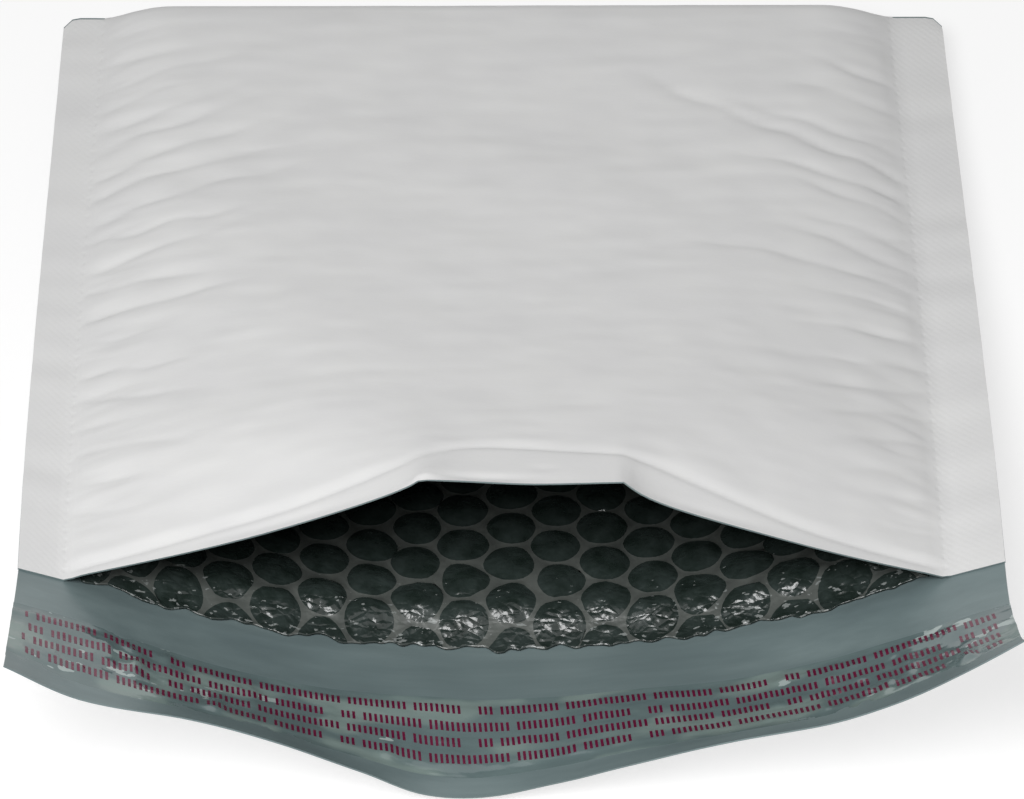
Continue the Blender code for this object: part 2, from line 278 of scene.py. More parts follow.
def short_folds(seed):
    """Small gathers at a seal, between its long creases, as rows like those of LEFT_FOLDS."""
    random = np.random.default_rng(seed)
    folds = []
    for start in np.arange(12, 197, SHORT_FOLD_PITCH):
        start += random.uniform(-1.5, 1.5)
        slope = random.uniform(-0.25, 0.35)
        reach = random.uniform(8, 17)
        depth = random.uniform(0.06, 0.15)
        folds.append((start, slope, 0.0, reach, depth))
    return folds


# The crease behind the lip of the front wall: (distance across, distance from the mouth), in mm
LIP_CREASE = np.array(
    [(-84, 2.0), (-58, 5.0), (-39, 6.5), (-21, 10.5), (-13, 15.0), (-6, 17.0), (9, 15.5)]
    + [(24, 13.0), (35, 10.0), (54, 5.5), (84, 2.0)]
)

# Where the lip is hollow just behind its edge: (distance across, reach, amount), in mm
LIP_HOLLOWS = ((-5, 6.5, 0.5), (-44, 14, 0.3), (37, 9, 0.25))

# The lip's raised ear at the left kink: where its foot is, in mm, and how it leans
EAR_FOOT = -17.5
EAR_LEAN = 0.45

# The floor that keeps creases above the liner, in mm, and how softly they meet it
DEEPEST_CREASE = -0.2
CREASE_BLEND = 0.02


def smooth_floor(height, floor):
    """height where it is well above floor, and no lower than floor."""
    above = height - floor
    return floor + (above + np.sqrt(above**2 + CREASE_BLEND)) / 2


def front_relief(u, y):
    """Height in mm that the front wall stands proud of its smooth shape."""
    u, y = u / MM, y / MM
    left = u - (POCKET_MIDDLE - POCKET_HALF) / MM
    right = (POCKET_MIDDLE + POCKET_HALF) / MM - u
    nearest = np.minimum(left, right)
    within = ease(nearest / 4)
    folds = seam_folds(left, y, LEFT_FOLDS, 3) + seam_folds(right, y, RIGHT_FOLDS, 4)
    folds += seam_folds(left, y, short_folds(41), 43) + seam_folds(right, y, short_folds(42), 44)
    gathers = ripple(u * 0.35, y, 6.0, 5) * (0.035 + 0.07 * np.exp(-np.maximum(nearest, 0) / 22))
    dapple = ripple(u, y, 12.0, 6) * 0.11
    wide = ripple(u * 0.8, y, 42.0, 7) * 0.3
    mottle = ripple(u, y, 5.0, 31) * 0.030
    crease = curve_through(LIP_CREASE[:, 0], LIP_CREASE[:, 1], u)
    behind = y - crease
    body = ease((behind + 1) / 5)
    swell = 0.45 + 0.35 * np.exp(-np.maximum(nearest - 5, 0) / 30)
    relief = body * (ease((nearest + 1) / 4) * (swell + folds) + within * (gathers + dapple + mottle))
    relief = smooth_floor(relief + within * wide, DEEPEST_CREASE)
    relief *= ease((BODY_LENGTH / MM - y) / 10)
    ahead = np.maximum(-behind, 0)
    band = 0.45 * (1 - np.exp(-ahead / 0.8)) * np.exp(-ahead / 6) - 0.2 * np.exp(-np.abs(behind) / 1.4)
    hollow = sum(amount * np.exp(-(((u - place) / reach) ** 2)) for place, reach, amount in LIP_HOLLOWS)
    hollow *= -np.exp(-(((y - 2.4) / 1.5) ** 2))
    sag = -0.4 * np.exp(-(((u - 4) / 12) ** 2) - (y / 4.5) ** 2)
    ear_side = u - (EAR_FOOT + y * EAR_LEAN)
    ear = 0.9 * np.exp(-((ear_side / np.where(ear_side < 0, 1.2, 3.0)) ** 2) - (y / 10.0) ** 2)
    dimple = -0.25 * np.exp(-(((u - 5.6) / 1.8) ** 2) - ((y - 7.0) / 1.5) ** 2)
    return relief + within * (band + hollow + sag + ease(y / 2) * ear + dimple)


def back_relief(u, y):
    """Height in mm that the back wall is pushed in from its smooth shape."""
    u, y = u / MM, y / MM
    nearest = POCKET_HALF / MM - np.abs(u - POCKET_MIDDLE / MM)
    within = ease(nearest / 4)
    gathers = (1 + ripple(u * 0.25, y, 7.0, 8)) * np.exp(-np.maximum(nearest, 0) / 18) * 0.12
    return within * gathers * ease(y / 12) * ease((BODY_LENGTH / MM - y) / 10)


def seal_relief(u, y):
    """Height in mm by which both walls of a side seal wave together."""
    outside = np.abs(u - POCKET_MIDDLE) - POCKET_HALF
    wave = ripple(np.sign(u) * 400 + outside / MM * 0.2, y / MM, 13.0, 9) * 0.16
    return wave * ease((outside / MM + 3) / 5) * ease(y / MM / 12)


def flap_relief(u, y):
    """Height in mm by which the flap and all that lies on it wave together."""
    u, y = u / MM, y / MM
    return ease(-y / 8) * (ripple(u, y * 0.7, 16.0, 10) * 0.10 + ripple(u * 0.5, y, 7.0, 11) * 0.04)


# The rounding of the corners at the fold
CORNER = 0.0035
CORNER_REACH = 0.012


def bend(u, s, depth, relief=True):
    """Points of the bent web, as an array of (x, y, z) rows."""
    u, s, depth = np.broadcast_arrays(np.asarray(u, float), np.asarray(s, float), depth)
    turn = np.clip(s / WALL, -math.pi / 2, math.pi / 2)
    straight = FOLD_CENTRE - np.maximum(np.abs(s) - QUARTER_TURN, 0.0)
    y = straight + (WALL - depth) * np.cos(turn)
    side = -np.sin(turn)
    in_pocket = y >= 0
    inner_y = np.maximum(y, 0.0)
    high, low = top(u, inner_y), pocket_bottom(u, inner_y)
    pocket_z = (high + low) / 2 + side * np.maximum((high - low) / 2 - depth, 0.0)
    flap_z = flap_height(u, np.clip(-y / FLAP_LENGTH, 0.0, 1.0)) + depth
    z = np.where(in_pocket, pocket_z, flap_z)
    pull = EDGE_PULL_BACK * (1 - front_drop(u, inner_y)) * openness(inner_y) ** 3 * (1 + side) / 2
    x = u * (1 - MOUTH_NARROWING / FLAT_WIDTH * openness(y) ** NARROWING_POWER)
    if relief:
        walls = np.where(side > 0, front_relief(u, y) * side, -back_relief(u, y) * side)
        z = z + MM * np.where(in_pocket, walls + seal_relief(u, y), flap_relief(u, y))
    over = np.clip(np.abs(u) - (HALF_WIDTH - CORNER), 0.0, CORNER)
    inset = CORNER - np.sqrt(CORNER**2 - over**2)
    y = np.where(in_pocket, y + pull, y) - inset * ease((y - BODY_LENGTH + CORNER_REACH) / CORNER_REACH)
    return np.stack([x, y - MIDDLE_Y, z], -1)


def new_piece(name, mesh):
    """A shown piece that rides on the one body."""
    mesh.shade_smooth()
    piece = bpy.data.objects.new(name, mesh)
    bpy.context.scene.collection.objects.link(piece)
    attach(piece, "root")
    return piece


def vertex_places(mesh):
    """The places of the mesh's vertices, as rows."""
    places = np.empty(len(mesh.vertices) * 3)
    mesh.vertices.foreach_get("co", places)
    return places.reshape(-1, 3)


def place_vertices(mesh, places):
    mesh.vertices.foreach_set("co", places.ravel())
    mesh.update()


def keep_flat(mesh, flat):
    """Keeps each vertex's place on the flat web, (u, s), as the UVs that the materials read."""
    corner = np.empty(len(mesh.loops), int)
    mesh.loops.foreach_get("vertex_index", corner)
    layer = mesh.uv_layers.new(name="flat")
    layer.uv.foreach_set("vector", flat[corner].ravel())


def web_mesh(name, columns, rows, position):
    """A grid whose corner at column u and row s goes to position(u, s), with (u, s) kept as its UVs."""
    bm = bmesh.new()
    bmesh.ops.create_grid(bm, x_segments=len(columns) - 1, y_segments=len(rows) - 1, size=0.5)
    mesh = bpy.data.meshes.new(name)
    bm.to_mesh(mesh)
    bm.free()
    unit = vertex_places(mesh) + 0.5
    u = columns[np.rint(unit[:, 0] * (len(columns) - 1)).astype(int)]
    s = rows[np.rint(unit[:, 1] * (len(rows) - 1)).astype(int)]
    keep_flat(mesh, np.stack([u, s], -1))
    place_vertices(mesh, position(u, s))
    return mesh


SHARP_ANGLE = math.radians(50)


def thicken(piece, thickness, inner_material=0):
    """Gives a sheet its thickness, inward, and applies it."""
    solidify = piece.modifiers.new("thickness", "SOLIDIFY")
    solidify.thickness = thickness
    solidify.offset = -1.0
    solidify.material_offset = inner_material
    solidify.material_offset_rim = inner_material
    evaluated = piece.evaluated_get(bpy.context.evaluated_depsgraph_get())
    solid = bpy.data.meshes.new_from_object(evaluated)
    piece.modifiers.clear()
    piece.data = solid
    solid.set_sharp_from_angle(angle=SHARP_ANGLE)


# Materials


def new_material(name, colour, roughness, specular=0.5):
    material = bpy.data.materials.new(name)
    material.use_nodes = True
    shader = material.node_tree.nodes["Principled BSDF"]
    shader.inputs["Base Color"].default_value = (*colour, 1.0)
    shader.inputs["Roughness"].default_value = roughness
    shader.inputs["Specular IOR Level"].default_value = specular
    return material, shader


def add(material, kind, **values):
    """A new node. Values are its settings, or the numbers of the inputs that they name."""
    node = material.node_tree.nodes.new(kind)
    for key, value in values.items():
        if hasattr(node, key):
            setattr(node, key, value)
        else:
            node.inputs[key.replace("_", " ")].default_value = value
    return node


def link(material, out, into):
    material.node_tree.links.new(out, into)


def stretched_place(material, stretch):
    """The piece's own coordinates, stretched along each axis."""
    place = add(material, "ShaderNodeTexCoord")
    mapping = add(material, "ShaderNodeMapping", Scale=stretch)
    link(material, place.outputs["Object"], mapping.inputs["Vector"])
    return mapping.outputs["Vector"]


def flat_place(material):
    """The flat web's coordinates: the distance across it, and the distance along it."""
    flat = add(material, "ShaderNodeUVMap", uv_map="flat")
    parts = add(material, "ShaderNodeSeparateXYZ")
    link(material, flat.outputs["UV"], parts.inputs["Vector"])
    return parts.outputs["X"], parts.outputs["Y"]


def stretched_noise(material, scale, stretch, detail=3.0, roughness=0.55):
    noise = add(material, "ShaderNodeTexNoise", Scale=scale, Detail=detail, Roughness=roughness)
    link(material, stretched_place(material, stretch), noise.inputs["Vector"])
    return noise.outputs["Fac"]


def ramp(material, value, stops):
    """A colour for each value: stops are (position, colour)."""
    node = add(material, "ShaderNodeValToRGB")
    elements = node.color_ramp.elements
    while len(elements) < len(stops):
        elements.new(0.5)
    for element, (position, colour) in zip(elements, stops):
        element.position = position
        element.color = (*colour, 1.0)
    link(material, value, node.inputs["Fac"])
    return node.outputs["Color"]


def math_node(material, operation, *values):
    node = add(material, "ShaderNodeMath", operation=operation)
    for socket, value in zip(node.inputs, values):
        if isinstance(value, (int, float)):
            socket.default_value = value
        else:
            link(material, value, socket)
    return node.outputs[0]


def to_range(material, value, low, high, new_low, new_high):
    node = add(material, "ShaderNodeMapRange")
    for socket, number in zip(node.inputs[1:5], (low, high, new_low, new_high)):
        socket.default_value = number
    link(material, value, node.inputs["Value"])
    return node.outputs["Result"]


def wave(material, value, length):
    """A sine of value that repeats after each length."""
    return math_node(material, "SINE", math_node(material, "MULTIPLY", value, 2 * math.pi / length))


def with_painted_glints(material, shader, colour, noise, glint_limit, glint_colour):
    """Gives the shader its colour, with a painted glint, a pale fleck, wherever the noise is above its
    limit.
    """
    mix = add(material, "ShaderNodeMix", data_type="RGBA")
    link(material, math_node(material, "GREATER_THAN", noise, glint_limit), mix.inputs["Factor"])
    link(material, colour, mix.inputs["A"])
    mix.inputs["B"].default_value = (*glint_colour, 1.0)
    link(material, mix.outputs["Result"], shader.inputs["Base Color"])


def bump(material, shader, height, distance):
    node = add(material, "ShaderNodeBump", Strength=1.0, Distance=distance)
    link(material, height, node.inputs["Height"])
    link(material, node.outputs["Normal"], shader.inputs["Normal"])


# The repeats of the side seals' knurl, across and along them, and of the pricks beside them
KNURL_ACROSS = 0.0016
KNURL_ALONG = 0.0022
PRICK_PITCH = 0.0034


def white_film():
    """Matt white film, knurled and pricked along the side seals."""
    material, shader = new_material("white_film", (0.72, 0.72, 0.715), 0.5)
    tone = stretched_noise(material, 60.0, (1, 1, 1))
    colour = ramp(material, tone, ((0.3, (0.705, 0.705, 0.705)), (0.7, (0.735, 0.735, 0.73))))
    link(material, colour, shader.inputs["Base Color"])
    rough = stretched_noise(material, 150.0, (0.5, 1, 1))
    link(material, to_range(material, rough, 0.3, 0.7, 0.50, 0.62), shader.inputs["Roughness"])
    u, s = flat_place(material)
    middle = math_node(material, "SUBTRACT", u, POCKET_MIDDLE)
    outside = math_node(material, "SUBTRACT", math_node(material, "ABSOLUTE", middle), POCKET_HALF)
    in_seal = to_range(material, outside, -0.0005, 0.0006, 0.0, 1.0)
    across = wave(material, outside, KNURL_ACROSS)
    along = wave(material, s, KNURL_ALONG)
    knurl = math_node(material, "MULTIPLY", math_node(material, "MULTIPLY", across, along), in_seal)
    edge = math_node(material, "ABSOLUTE", outside)
    line = to_range(material, edge, 0.0, 0.0007, 1.0, 0.0)
    dots = wave(material, s, PRICK_PITCH)
    pricks = math_node(material, "MULTIPLY", line, to_range(material, dots, -0.2, 1.0, 0.0, 1.0))
    grain = stretched_noise(material, 900.0, (0.6, 1, 1), 2.0)
    height = math_node(material, "MULTIPLY", knurl, 0.25)
    height = math_node(material, "SUBTRACT", height, math_node(material, "MULTIPLY", pricks, 1.2))
    height = math_node(material, "ADD", height, math_node(material, "MULTIPLY", grain, 0.35))
    bump(material, shader, height, 0.00006)
    return material


def grey_film():
    """The inside of the film, drawn out in faint streaks across the web."""
    material, shader = new_material("grey_film", (0.115, 0.165, 0.172), 0.35)
    streaks = stretched_noise(material, 130.0, (0.05, 1, 1), 4.0, 0.6)
    blotches = stretched_noise(material, 22.0, (1, 1, 1), 2.0)
    streak_part = math_node(material, "MULTIPLY", streaks, 0.65)
    blotch_part = math_node(material, "MULTIPLY", blotches, 0.35)
    mixed = math_node(material, "ADD", streak_part, blotch_part)
    stops = (
        (0.35, (0.112, 0.150, 0.155)),
        (0.50, (0.136, 0.180, 0.184)),
        (0.66, (0.172, 0.222, 0.225)),
    )
    colour = ramp(material, mixed, stops)
    link(material, colour, shader.inputs["Base Color"])
    link(material, to_range(material, blotches, 0.3, 0.7, 0.28, 0.42), shader.inputs["Roughness"])
    fine = stretched_noise(material, 500.0, (0.1, 1, 1), 2.0)
    bump(material, shader, fine, 0.00003)
    return material


def wrinkles(material, scale, stretch, width):
    """Sharp creases between flat patches: 0 in a crease, 1 on a patch."""
    cells = add(material, "ShaderNodeTexVoronoi", feature="DISTANCE_TO_EDGE", Scale=scale)
    link(material, stretched_place(material, stretch), cells.inputs["Vector"])
    return to_range(material, cells.outputs["Distance"], 0.0, width, 0.0, 1.0)


def nearness(material, reach):
    """1 at the liner's cut ends, falling to 0 at a distance of reach from them."""
    _, s = flat_place(material)
    cut = TO_MOUTH - LINER_BACK_MARGIN
    return to_range(material, math_node(material, "ABSOLUTE", s), cut - reach, cut, 0.0, 1.0)


def liner_film(name, dark, light, roughness, distance):
    """One tone of the liner's film. Toward the cut ends it is crumpled, and flecked with painted glints
    that make it look paler.
    """
    material, shader = new_material(name, light, roughness)
    cloud = stretched_noise(material, 260.0, (1, 1, 1), 3.0)
    close = nearness(material, 0.030)
    colour = ramp(material, cloud, ((0.35, dark), (0.7, light)))
    # Pale flecks, denser toward the cut ends, are painted glints.
    glint_noise = stretched_noise(material, 900.0, (0.5, 1, 1), 3.0)
    glint_limit = to_range(material, close, 0.2, 1.0, 0.80, 0.62)
    with_painted_glints(material, shader, colour, glint_noise, glint_limit, (0.20, 0.215, 0.21))
    crumple = wrinkles(material, 620.0, (0.6, 1, 1), 0.3)
    soft = stretched_noise(material, 420.0, (1, 0.7, 1), 2.0, 0.5)
    height = math_node(material, "MULTIPLY", crumple, to_range(material, close, 0.1, 0.9, 0.04, 0.22))
    bump(material, shader, math_node(material, "ADD", height, soft), distance)
    return material


def bubble_film():
    """A bubble seen through the flat film. Its dark tone is painted shade: the clear dome is drawn as an
    opaque dark film.
    """
    return liner_film("bubble_film", (0.013, 0.020, 0.017), (0.031, 0.042, 0.039), 0.20, 0.0004)


def bubble_web():
    """The film between the bubbles, where the two layers are joined."""
    return liner_film("bubble_web", (0.066, 0.073, 0.068), (0.100, 0.109, 0.101), 0.30, 0.00015)


def release_film():
    """Clear film over the adhesive, which shows pale where it touches. Toward the ends it is flecked with
    painted highlights.
    """
    material, shader = new_material("release_film", (0.14, 0.19, 0.19), 0.13)
    patch = stretched_noise(material, 85.0, (0.5, 1, 1), 2.0, 0.5)
    stops = (
        (0.40, (0.112, 0.155, 0.158)),
        (0.50, (0.125, 0.172, 0.172)),
        (0.56, (0.180, 0.235, 0.222)),
        (0.70, (0.205, 0.262, 0.245)),
    )
    # Pale flecks toward the strip's ends are painted highlights.
    u, _ = flat_place(material)
    glint_limit = to_range(material, math_node(material, "ABSOLUTE", u), 0.035, 0.08, 0.74, 0.615)
    glint_noise = stretched_noise(material, 190.0, (0.45, 1, 1), 3.0)
    with_painted_glints(material, shader, ramp(material, patch, stops), glint_noise, glint_limit, (0.33, 0.39, 0.38))
    crinkle = stretched_noise(material, 240.0, (0.5, 1, 1), 2.0)
    bump(material, shader, crinkle, 0.0003)
    return material


def plain(name, colour, roughness, scale, distance):
    """A colour that varies a little, over a fine grain."""
    material, shader = new_material(name, colour, roughness)
    tone = stretched_noise(material, scale, (1, 1, 1))
    low, high = (tuple(share * c for c in colour) for share in (0.85, 1.15))
    link(material, ramp(material, tone, ((0.3, low), (0.7, high))), shader.inputs["Base Color"])
    bump(material, shader, tone, distance)
    return material


# The outer film

SHOWN_FILM = 0.28 * MM
FILM_COLUMNS = 112
FRONT_ROWS = 320
FOLD_ROWS = 13
BACK_ROWS = 52
FLAP_ROWS = 30


def make_outer_film(white, grey):
    columns = np.linspace(-HALF_WIDTH, HALF_WIDTH, FILM_COLUMNS)
    front = np.linspace(-TO_MOUTH, -QUARTER_TURN, FRONT_ROWS)
    fold = np.linspace(-QUARTER_TURN, QUARTER_TURN, FOLD_ROWS)
    back = np.linspace(QUARTER_TURN, TO_MOUTH, BACK_ROWS)
    flap = np.linspace(TO_MOUTH, TO_FLAP_END, FLAP_ROWS)
    rows = np.concatenate([front, fold[1:], back[1:], flap[1:]])
    mesh = web_mesh("film", columns, rows, lambda u, s: bend(u, s, 0.0))
    piece = new_piece("film", mesh)
    mesh.materials.append(white)
    mesh.materials.append(grey)
    thicken(piece, SHOWN_FILM, 1)
    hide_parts("outer_film")


# The bubble liner

BUBBLE_CORNERS = 24
BUBBLE_RADIUS = 4.76 * MM
BUBBLE_SQUARING = 0.12
NEAR_DEPTH = 0.085
NEAR_RINGS = (0.36, 0.68, 0.88, 1.0)
FAR_RINGS = (0.6, 1.0)
BACKING_COLUMNS = 22
BACKING_ROWS = 46
CUT_EDGE_SHARE = 0.07


def bubble_mesh(left, right, front, back):
    """Tiles the flat liner with cells of a round bubble in a hexagon of web, as one open sheet."""
    random = np.random.default_rng(12)
    column_step = BUBBLE_PITCH * math.sqrt(3) / 2
    angles = np.arange(BUBBLE_CORNERS) * 2 * math.pi / BUBBLE_CORNERS
    round_unit = np.stack([np.cos(angles), np.sin(angles)], -1)
    to_side = np.cos(np.radians(np.degrees(angles) % 60 - 30))
    hexagon = round_unit * (BUBBLE_PITCH / 2 / to_side)[:, None]
    inverse = (1 - BUBBLE_SQUARING) / BUBBLE_RADIUS + BUBBLE_SQUARING * to_side / BUBBLE_RADIUS
    outline = round_unit / inverse[:, None]
    points, faces, materials = [], [], []
    for i in range(math.floor(left / column_step) - 1, math.ceil(right / column_step) + 2):
        shift = BUBBLE_PITCH / 2 if i % 2 else 0.0
        for k in range(math.floor(front / BUBBLE_PITCH) - 1, math.ceil(back / BUBBLE_PITCH) + 2):
            cell = np.array([i * column_step, k * BUBBLE_PITCH + shift])
            off = cell + random.normal(0, 0.2, 2) * MM
            size = 1 + random.normal(0, 0.02)
            bulge = BUBBLE_HEIGHT * random.uniform(0.6, 1.0)
            near = abs(cell[1]) > TO_MOUTH - NEAR_DEPTH
            lobes = random.normal(0, 0.026, 2)
            turns = random.uniform(0, 2 * math.pi, 2)
            uneven = 1 + lobes[0] * np.cos(2 * angles + turns[0]) + lobes[1] * np.cos(3 * angles + turns[1])
            shares = NEAR_RINGS if near else FAR_RINGS
            first = len(points)
            points.append((*off, LINER_BASE + bulge))
            for share in shares:
                ring = off + outline * uneven[:, None] * size * share
                height = LINER_BASE + bulge * (1 - share**2) ** 0.75
                points.extend((x, y, height) for x, y in ring)
            points.extend((x, y, LINER_BASE) for x, y in cell + hexagon)
            loops = [first + 1 + n * BUBBLE_CORNERS for n in range(len(shares) + 1)]
            for a in range(BUBBLE_CORNERS):
                b = (a + 1) % BUBBLE_CORNERS
                faces.append((first, loops[0] + a, loops[0] + b))
                materials.append(0)
                for n in range(len(shares)):
                    inner, outer = loops[n], loops[n + 1]
                    faces.append((inner + a, outer + a, outer + b, inner + b))
                    materials.append(0 if n < len(shares) - 1 else 1)
    mesh = bpy.data.meshes.new("liner")
    mesh.from_pydata(points, [], faces)
    mesh.polygons.foreach_set("material_index", materials)
    return mesh


def close_liner(bm, left, right, front, back):
    """Cuts the tiled sheet to the liner's edges and gives it a plain back."""
    bmesh.ops.remove_doubles(bm, verts=bm.verts, dist=1e-5)
    edges = (((left, 0), (-1, 0)), ((right, 0), (1, 0)), ((0, front), (0, -1)), ((0, back), (0, 1)))
    for point, outward in edges:
        bmesh.ops.bisect_plane(
            bm,
            geom=bm.verts[:] + bm.edges[:] + bm.faces[:],
            dist=1e-6,
            plane_co=(*point, 0.0),
            plane_no=(*outward, 0.0),
            clear_outer=True,
        )
    border = [edge for edge in bm.edges if edge.is_boundary]
    extruded = bmesh.ops.extrude_edge_only(bm, edges=border)["geom"]
    rim = [item for item in extruded if isinstance(item, bmesh.types.BMEdge)]
    for vert in {vert for edge in rim for vert in edge.verts}:
        vert.co.z = 0.0
    rim = [edge for edge in rim if edge.is_boundary]
    faces = bmesh.ops.edgeloop_fill(bm, edges=rim)["faces"]
    for distances, direction in (
        (np.linspace(left, right, BACKING_COLUMNS)[1:-1], Vector((1, 0, 0))),
        (np.linspace(front, back, BACKING_ROWS)[1:-1], Vector((0, 1, 0))),
    ):
        for distance in distances:
            geometry = set(faces)
            for face in faces:
                geometry.update(face.edges)
                geometry.update(face.verts)
            cut = bmesh.ops.bisect_plane(
                bm,
                geom=list(geometry),
                dist=1e-6,
                plane_co=direction * float(distance),
                plane_no=direction,
            )
            faces = [item for item in cut["geom"] if isinstance(item, bmesh.types.BMFace)]
    for face in bm.faces:
        if max(vert.co.z for vert in face.verts) < LINER_BASE / 2:
            face.material_index = 1
    bmesh.ops.recalc_face_normals(bm, faces=bm.faces)


def bend_liner(mesh):
    """Bends the flat liner into the pocket. Toward its ragged cut ends it is crushed and crinkled."""
    u, s, height = vertex_places(mesh).T
    margin = np.where(s < 0, LINER_FRONT_MARGIN, LINER_BACK_MARGIN)
    from_cut = TO_MOUTH - margin - np.abs(s)
    full = CUT_EDGE_SHARE + (1 - CUT_EDGE_SHARE) * ease(from_cut / LINER_CUT_REACH)
    loose = 1 - ease(from_cut / 0.024)
    mm_u, mm_s = u / MM, s / MM
    on_top = ease(height / LINER_BASE)
    crinkle = ripple(mm_u, mm_s, 3.4, 13) * 0.34 + ripple(mm_u, mm_s, 2.0, 14) * 0.08
    ragged = ripple(mm_u, 0 * mm_s, 9.0, 15) * 1.0 + ripple(mm_u, 0 * mm_s, 3.5, 16) * 0.5
    reach = 1 - ease(from_cut / 0.008)
    s = s + np.sign(s) * reach * np.clip(ragged, -1.6, 1.3) * MM
    height = height + on_top * MM * (crinkle * loose + ripple(mm_u, mm_s, 5.0, 17) * 0.07)
    y = FOLD_CENTRE - np.maximum(np.abs(s) - QUARTER_TURN, 0.0)
    room = (top(u, y) - pocket_bottom(u, y)) / 2 - GAP / 2
    depth = np.clip(LINER_DEPTH + height * full, LINER_DEPTH, room)
    place_vertices(mesh, bend(u, s, depth, relief=False))


def make_liner(bubble, web):
    reach = POCKET_HALF - LINER_SIDE_MARGIN
    left, right = POCKET_MIDDLE - reach, POCKET_MIDDLE + reach
    front, back = LINER_FRONT_MARGIN - TO_MOUTH, TO_MOUTH - LINER_BACK_MARGIN
    mesh = bubble_mesh(left, right, front, back)
    bm = bmesh.new()
    bm.from_mesh(mesh)
    close_liner(bm, left, right, front, back)
    bm.to_mesh(mesh)
    bm.free()
    keep_flat(mesh, vertex_places(mesh)[:, :2])
    bend_liner(mesh)
    mesh.materials.append(bubble)
    mesh.materials.append(web)
    piece = new_piece("liner", mesh)
    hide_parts("bubble_liner")


# The flap's strips, whose layers lie closer together than the CAD solids that they stand for

STRIP_FILL = 0.9
GLUE_LAYER = 0.15 * MM
GLUE_THICKNESS = GLUE_LAYER * STRIP_FILL
GLUE_CLEARANCE = 0.01 * MM
RELEASE_LAYER = 0.03 * MM
RELEASE_CLEARANCE = 0.005 * MM
OVER_GLUE = 0.025 * MM
STRIP_COLUMNS = 240
STRIP_ROWS = 34


def release_height(u, s):
    """Height in mm by which the release liner is wrinkled off the adhesive."""
    u, s = u / MM, s / MM
    gather = np.maximum(ripple(u, s * 0.35, 6.5, 21), 0) ** 1.5
    fine = np.maximum(ripple(u * 0.8, s, 3.6, 22), 0) ** 1.5
    ends = 0.3 + 0.8 * ease((np.abs(u) - 35) / 30)
    from_edge = (RELEASE_WIDTH / 2 - np.abs(s * MM - STRIP_MIDDLE)) / MM
    return ends * (0.55 * gather + 0.2 * fine) * ease(from_edge / 4)


def glue_face(u, s):
    """Depth of the adhesive's upper side, which is the same all over."""
    return SHOWN_FILM + GLUE_CLEARANCE + GLUE_THICKNESS


def release_depth(s):
    """Depth of the release liner's underside. Beside the adhesive it lies on the film."""
    beside = ease((np.abs(s - STRIP_MIDDLE) - ADHESIVE_WIDTH / 2) / (1.2 * MM))
    return SHOWN_FILM + RELEASE_CLEARANCE + (GLUE_LAYER + OVER_GLUE) * (1 - beside)


def release_face(u, s):
    """Depth of the release liner's upper side."""
    return release_depth(s) + RELEASE_LAYER + MM * release_height(u, s)


def make_strip(name, node, width, face, thickness, material):
    """A strip across the flap, whose upper side lies at a depth of face(u, s)."""
    half = width / 2
    columns = np.linspace(-HALF_WIDTH, HALF_WIDTH, STRIP_COLUMNS)
    rows = np.linspace(STRIP_MIDDLE - half, STRIP_MIDDLE + half, STRIP_ROWS)
    mesh = web_mesh(name, columns, rows[::-1], lambda u, s: bend(u, s, face(u, s)))
    piece = new_piece(name, mesh)
    mesh.materials.append(material)
    thicken(piece, thickness * STRIP_FILL)
    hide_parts(node)


# Printed marks: rows of short bars in groups, on the release liner, with their sizes in mm

MARK_ROWS = (15.0, 19.7, 24.0, 28.6)
MARK_PITCH = 1.02
MARK_HEIGHT = 2.4
MARK_WIDTH = 0.50
MARK_LEAN = 0.35
MARK_WANDER = 0.4 * MM
MARK_GROUPS = (3, 11, 15, 11, 9)
GROUP_LENGTH = 57.0
GROUPS_IN_ROW = 5
FIRST_GROUP = -120.0
MARK_MARGIN = 2.5
MARK_LIFT = 0.02
MARK_THICKNESS = 0.06


def make_marks(material):
    """Short leaning bars in groups, printed in four rows that are staggered by half a group."""
    bm = bmesh.new()
    for row, distance in enumerate(MARK_ROWS):
        start = FIRST_GROUP + (GROUP_LENGTH / 2 + 3 if row % 2 else 0.0)
        for group in range(GROUPS_IN_ROW):
            place = start + group * GROUP_LENGTH
            for count in MARK_GROUPS:
                for _ in range(count):
                    if abs(place) < HALF_WIDTH / MM - MARK_MARGIN:
                        add_mark(bm, place, distance)
                    place += MARK_PITCH
                place += MARK_PITCH
    mesh = bpy.data.meshes.new("printed_marks")
    bm.to_mesh(mesh)
    bm.free()
    u, s, lift = vertex_places(mesh).T
    s = s + MARK_WANDER * ripple(u / MM, s / MM * 0.5, 24.0, 33)
    place_vertices(mesh, bend(u, s, release_face(u, s) + lift))
    mesh.materials.append(material)
    new_piece("printed_marks", mesh)
    mesh.shade_flat()


def add_mark(bm, place, distance):
    """One flat bar, in the web's own coordinates."""
    made = bmesh.ops.create_cube(bm, size=1.0)["verts"]
    middle = Vector((place * MM, TO_MOUTH + distance * MM, MARK_LIFT * MM))
    lean = Matrix.Identity(4)
    lean[0][1] = MARK_LEAN * MM / 2
    lean[0][0], lean[1][1], lean[2][2] = MARK_WIDTH * MM, MARK_HEIGHT * MM, MARK_THICKNESS * MM
    bmesh.ops.transform(bm, verts=made, matrix=Matrix.Translation(middle) @ lean)
    edges = {edge for vert in made for edge in vert.link_edges}
    upright = [edge for edge in edges if abs((edge.verts[0].co - edge.verts[1].co).y) > MM]
    bmesh.ops.subdivide_edges(bm, edges=upright, cuts=2, use_grid_fill=True)


# Floor, light and camera


AMBIENT = 0.31


def seen_ray(tree):
    """1 where the camera looks, also by way of a reflection or through glass, and 0 elsewhere."""
    path = add(tree, "ShaderNodeLightPath")
    seen = math_node(tree, "MAXIMUM", path.outputs["Is Camera Ray"], path.outputs["Is Glossy Ray"])
    return math_node(tree, "MAXIMUM", seen, path.outputs["Is Transmission Ray"])


